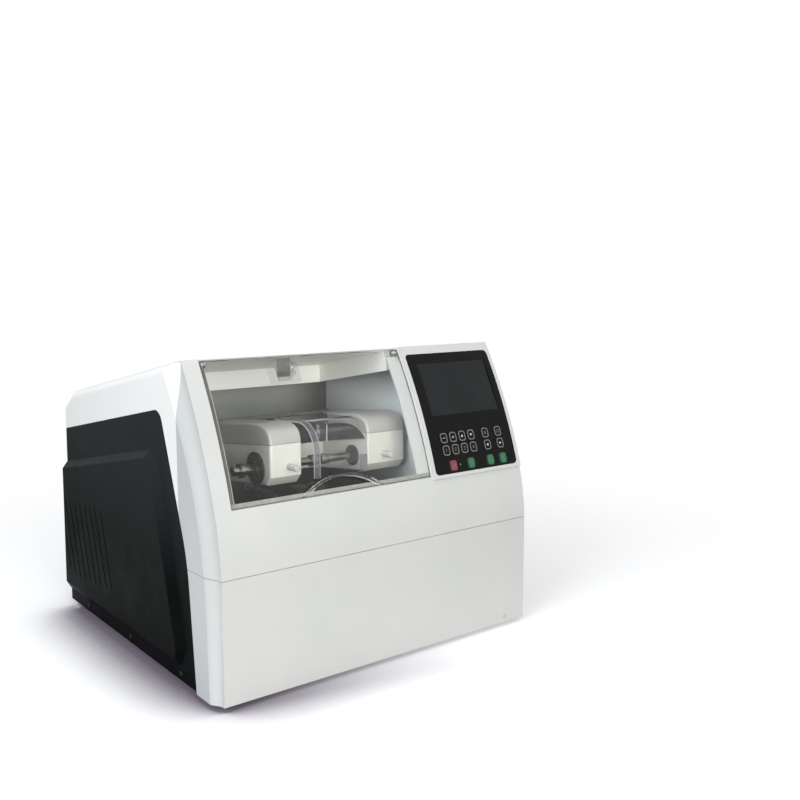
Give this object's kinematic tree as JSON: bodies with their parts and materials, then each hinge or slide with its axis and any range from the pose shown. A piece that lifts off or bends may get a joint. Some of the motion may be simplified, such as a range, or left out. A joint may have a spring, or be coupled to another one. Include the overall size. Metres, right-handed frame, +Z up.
{
  "type": "optical lens edger",
  "caption": "Bench lens edger: white case with black side panels, lifting clear door over a chamber with a clamping carriage and grinding wheels, and a tilted console with keys and a display.",
  "frame": {"origin": "on the table under the middle of the case", "axes": "X to the right seen from the front, Y to the back, Z up"},
  "size_m": [0.61, 0.563, 0.4766],
  "materials": {
    "white_casing": "moulded white plastic with a satin coat",
    "black_casing": "moulded black plastic with a fine grain",
    "cast_aluminium": "cast and blasted",
    "machined_aluminium": "milled",
    "rubber": "moulded rubber",
    "belt_rubber": "ribbed belt",
    "steel": "turned and polished",
    "grey_sheet": "painted sheet",
    "black_plastic": "moulded",
    "pipe_grey": "extruded and moulded",
    "tub_grey": "moulded, smooth",
    "console_black": "glossy printed overlay",
    "circuit_board": "lacquered board",
    "screen_glass": "dark display glass",
    "motor_paint": "painted black",
    "clear_acrylic": "clear, polished",
    "dark_metal": "blackened",
    "carriage_white": "cast and painted off-white",
    "head_white": "moulded off-white",
    "diamond_bond": "sintered diamond bond",
    "key_black": "moulded key, printed",
    "key_red": "moulded key",
    "key_green": "moulded key"
  },
  "bodies": {
    "chassis": {"base_casting": "cast_aluminium", "rubber_feet": "rubber", "lower_front_cover": "white_casing", "upper_cover": "white_casing", "left_side_panel": "black_casing", "right_side_panel": "black_casing", "panel_screws": "steel", "rear_panel": "grey_sheet", "power_inlet": "black_plastic", "water_fittings": "pipe_grey", "chamber_tub": "tub_grey", "hinge_pins": "steel", "console_panel": "console_black", "keypad_board": "circuit_board", "lcd_module": "screen_glass", "guide_rods": "steel", "traverse_motor": "motor_paint", "spindle_housing": "cast_aluminium", "drive_motor": "motor_paint", "drive_belt": "belt_rubber", "power_supply": "grey_sheet", "control_board": "circuit_board"},
    "door": {"chamber_door": "clear_acrylic", "door_handle": "clear_acrylic", "door_block": "clear_acrylic", "door_magnet": "dark_metal"},
    "slide": {"slide_block": "machined_aluminium", "pivot_shaft": "steel"},
    "carriage": {"carriage_frame": "carriage_white", "left_head_body": "head_white", "right_head_body": "head_white", "head_caps": "head_white", "head_pegs": "head_white", "shaft_flanges": "dark_metal", "guard_bracket": "dark_metal"},
    "guard": {"splash_guard": "clear_acrylic"},
    "left_shaft": {"left_lens_shaft": "steel"},
    "quill": {"clamp_quill": "steel"},
    "right_shaft": {"right_lens_shaft": "steel", "clamp_pad": "rubber"},
    "wheels": {"grinding_wheels": "diamond_bond", "wheel_spindle": "steel"},
    "motor_rotor": {"motor_pulley": "steel"},
    "rocker": {"power_rocker": "black_plastic"},
    "button_minus": {"key_minus": "key_black"},
    "button_plus": {"key_plus": "key_black"},
    "button_up": {"key_up": "key_black"},
    "button_down": {"key_down": "key_black"},
    "button_digit_1": {"key_digit_1": "key_black"},
    "button_digit_2": {"key_digit_2": "key_black"},
    "button_digit_3": {"key_digit_3": "key_black"},
    "button_digit_4": {"key_digit_4": "key_black"},
    "button_menu_1": {"key_menu_1": "key_black"},
    "button_menu_2": {"key_menu_2": "key_black"},
    "button_side_1": {"key_side_1": "key_black"},
    "button_side_2": {"key_side_2": "key_black"},
    "button_red_stop": {"key_red_stop": "key_red"},
    "button_green_1": {"key_green_1": "key_green"},
    "button_green_2": {"key_green_2": "key_green"},
    "button_green_3": {"key_green_3": "key_green"}
  },
  "joints": [
    {"name": "door_lift", "type": "hinge", "parent": "chassis", "child": "door", "pos_m": [-0.08475, -0.17592, 0.46615], "axis": [-1, 0, 0], "range_deg": [0, 85]},
    {"name": "traverse", "type": "slide", "parent": "chassis", "child": "slide", "axis": [1, 0, 0], "range_m": [-0.05, 0.008]},
    {"name": "carriage_swing", "type": "hinge", "parent": "slide", "child": "carriage", "pos_m": [-0.03, 0.1065, 0.273], "axis": [1, 0, 0], "range_deg": [0, 6.5]},
    {"name": "guard_lift", "type": "hinge", "parent": "carriage", "child": "guard", "pos_m": [-0.0285, -0.0675, 0.3565], "axis": [-1, 0, 0], "range_deg": [0, 55]},
    {"name": "left_shaft_spin", "type": "hinge", "parent": "carriage", "child": "left_shaft", "pos_m": [-0.1, -0.1448, 0.3015], "axis": [1, 0, 0], "continuous": true},
    {"name": "clamp_slide", "type": "slide", "parent": "carriage", "child": "quill", "axis": [1, 0, 0], "range_m": [0, 0.03]},
    {"name": "right_shaft_spin", "type": "hinge", "parent": "quill", "child": "right_shaft", "pos_m": [0.02, -0.1448, 0.3015], "axis": [1, 0, 0], "continuous": true},
    {"name": "motor_spin", "type": "hinge", "parent": "chassis", "child": "motor_rotor", "pos_m": [0.195, 0.0185, 0.079], "axis": [1, 0, 0], "continuous": true},
    {"name": "wheel_spin", "type": "hinge", "parent": "chassis", "child": "wheels", "pos_m": [-0.083, -0.1315, 0.211], "axis": [1, 0, 0], "continuous": true},
    {"name": "rocker_tilt", "type": "hinge", "parent": "chassis", "child": "rocker", "pos_m": [0.19, 0.2588, 0.084], "axis": [1, 0, 0], "range_deg": [0, 16]},
    {"name": "press_minus", "type": "slide", "parent": "chassis", "child": "button_minus", "axis": [0, 0.9352, -0.3542], "range_m": [0, 0.0005], "stiffness_N_per_m": 400},
    {"name": "press_plus", "type": "slide", "parent": "chassis", "child": "button_plus", "axis": [0, 0.9352, -0.3542], "range_m": [0, 0.0005], "stiffness_N_per_m": 400},
    {"name": "press_up", "type": "slide", "parent": "chassis", "child": "button_up", "axis": [0, 0.9352, -0.3542], "range_m": [0, 0.0005], "stiffness_N_per_m": 400},
    {"name": "press_down", "type": "slide", "parent": "chassis", "child": "button_down", "axis": [0, 0.9352, -0.3542], "range_m": [0, 0.0005], "stiffness_N_per_m": 400},
    {"name": "press_digit_1", "type": "slide", "parent": "chassis", "child": "button_digit_1", "axis": [0, 0.9434, -0.3315], "range_m": [0, 0.0005], "stiffness_N_per_m": 400},
    {"name": "press_digit_2", "type": "slide", "parent": "chassis", "child": "button_digit_2", "axis": [0, 0.9434, -0.3315], "range_m": [0, 0.0005], "stiffness_N_per_m": 400},
    {"name": "press_digit_3", "type": "slide", "parent": "chassis", "child": "button_digit_3", "axis": [0, 0.9434, -0.3315], "range_m": [0, 0.0005], "stiffness_N_per_m": 400},
    {"name": "press_digit_4", "type": "slide", "parent": "chassis", "child": "button_digit_4", "axis": [0, 0.9434, -0.3315], "range_m": [0, 0.0005], "stiffness_N_per_m": 400},
    {"name": "press_menu_1", "type": "slide", "parent": "chassis", "child": "button_menu_1", "axis": [0, 0.9352, -0.3542], "range_m": [0, 0.0005], "stiffness_N_per_m": 400},
    {"name": "press_menu_2", "type": "slide", "parent": "chassis", "child": "button_menu_2", "axis": [0, 0.9352, -0.3542], "range_m": [0, 0.0005], "stiffness_N_per_m": 400},
    {"name": "press_side_1", "type": "slide", "parent": "chassis", "child": "button_side_1", "axis": [0, 0.9434, -0.3315], "range_m": [0, 0.0005], "stiffness_N_per_m": 400},
    {"name": "press_side_2", "type": "slide", "parent": "chassis", "child": "button_side_2", "axis": [0, 0.9434, -0.3315], "range_m": [0, 0.0005], "stiffness_N_per_m": 400},
    {"name": "press_red_stop", "type": "slide", "parent": "chassis", "child": "button_red_stop", "axis": [0, 0.953, -0.3029], "range_m": [0, 0.0005], "stiffness_N_per_m": 400},
    {"name": "press_green_1", "type": "slide", "parent": "chassis", "child": "button_green_1", "axis": [0, 0.953, -0.3029], "range_m": [0, 0.0005], "stiffness_N_per_m": 400},
    {"name": "press_green_2", "type": "slide", "parent": "chassis", "child": "button_green_2", "axis": [0, 0.953, -0.3029], "range_m": [0, 0.0005], "stiffness_N_per_m": 400},
    {"name": "press_green_3", "type": "slide", "parent": "chassis", "child": "button_green_3", "axis": [0, 0.953, -0.3029], "range_m": [0, 0.0005], "stiffness_N_per_m": 400}
  ],
  "couplings": [
    {"joint": "right_shaft_spin", "follows": "left_shaft_spin", "ratio": 1},
    {"joint": "wheel_spin", "follows": "motor_spin", "ratio": 1}
  ]
}
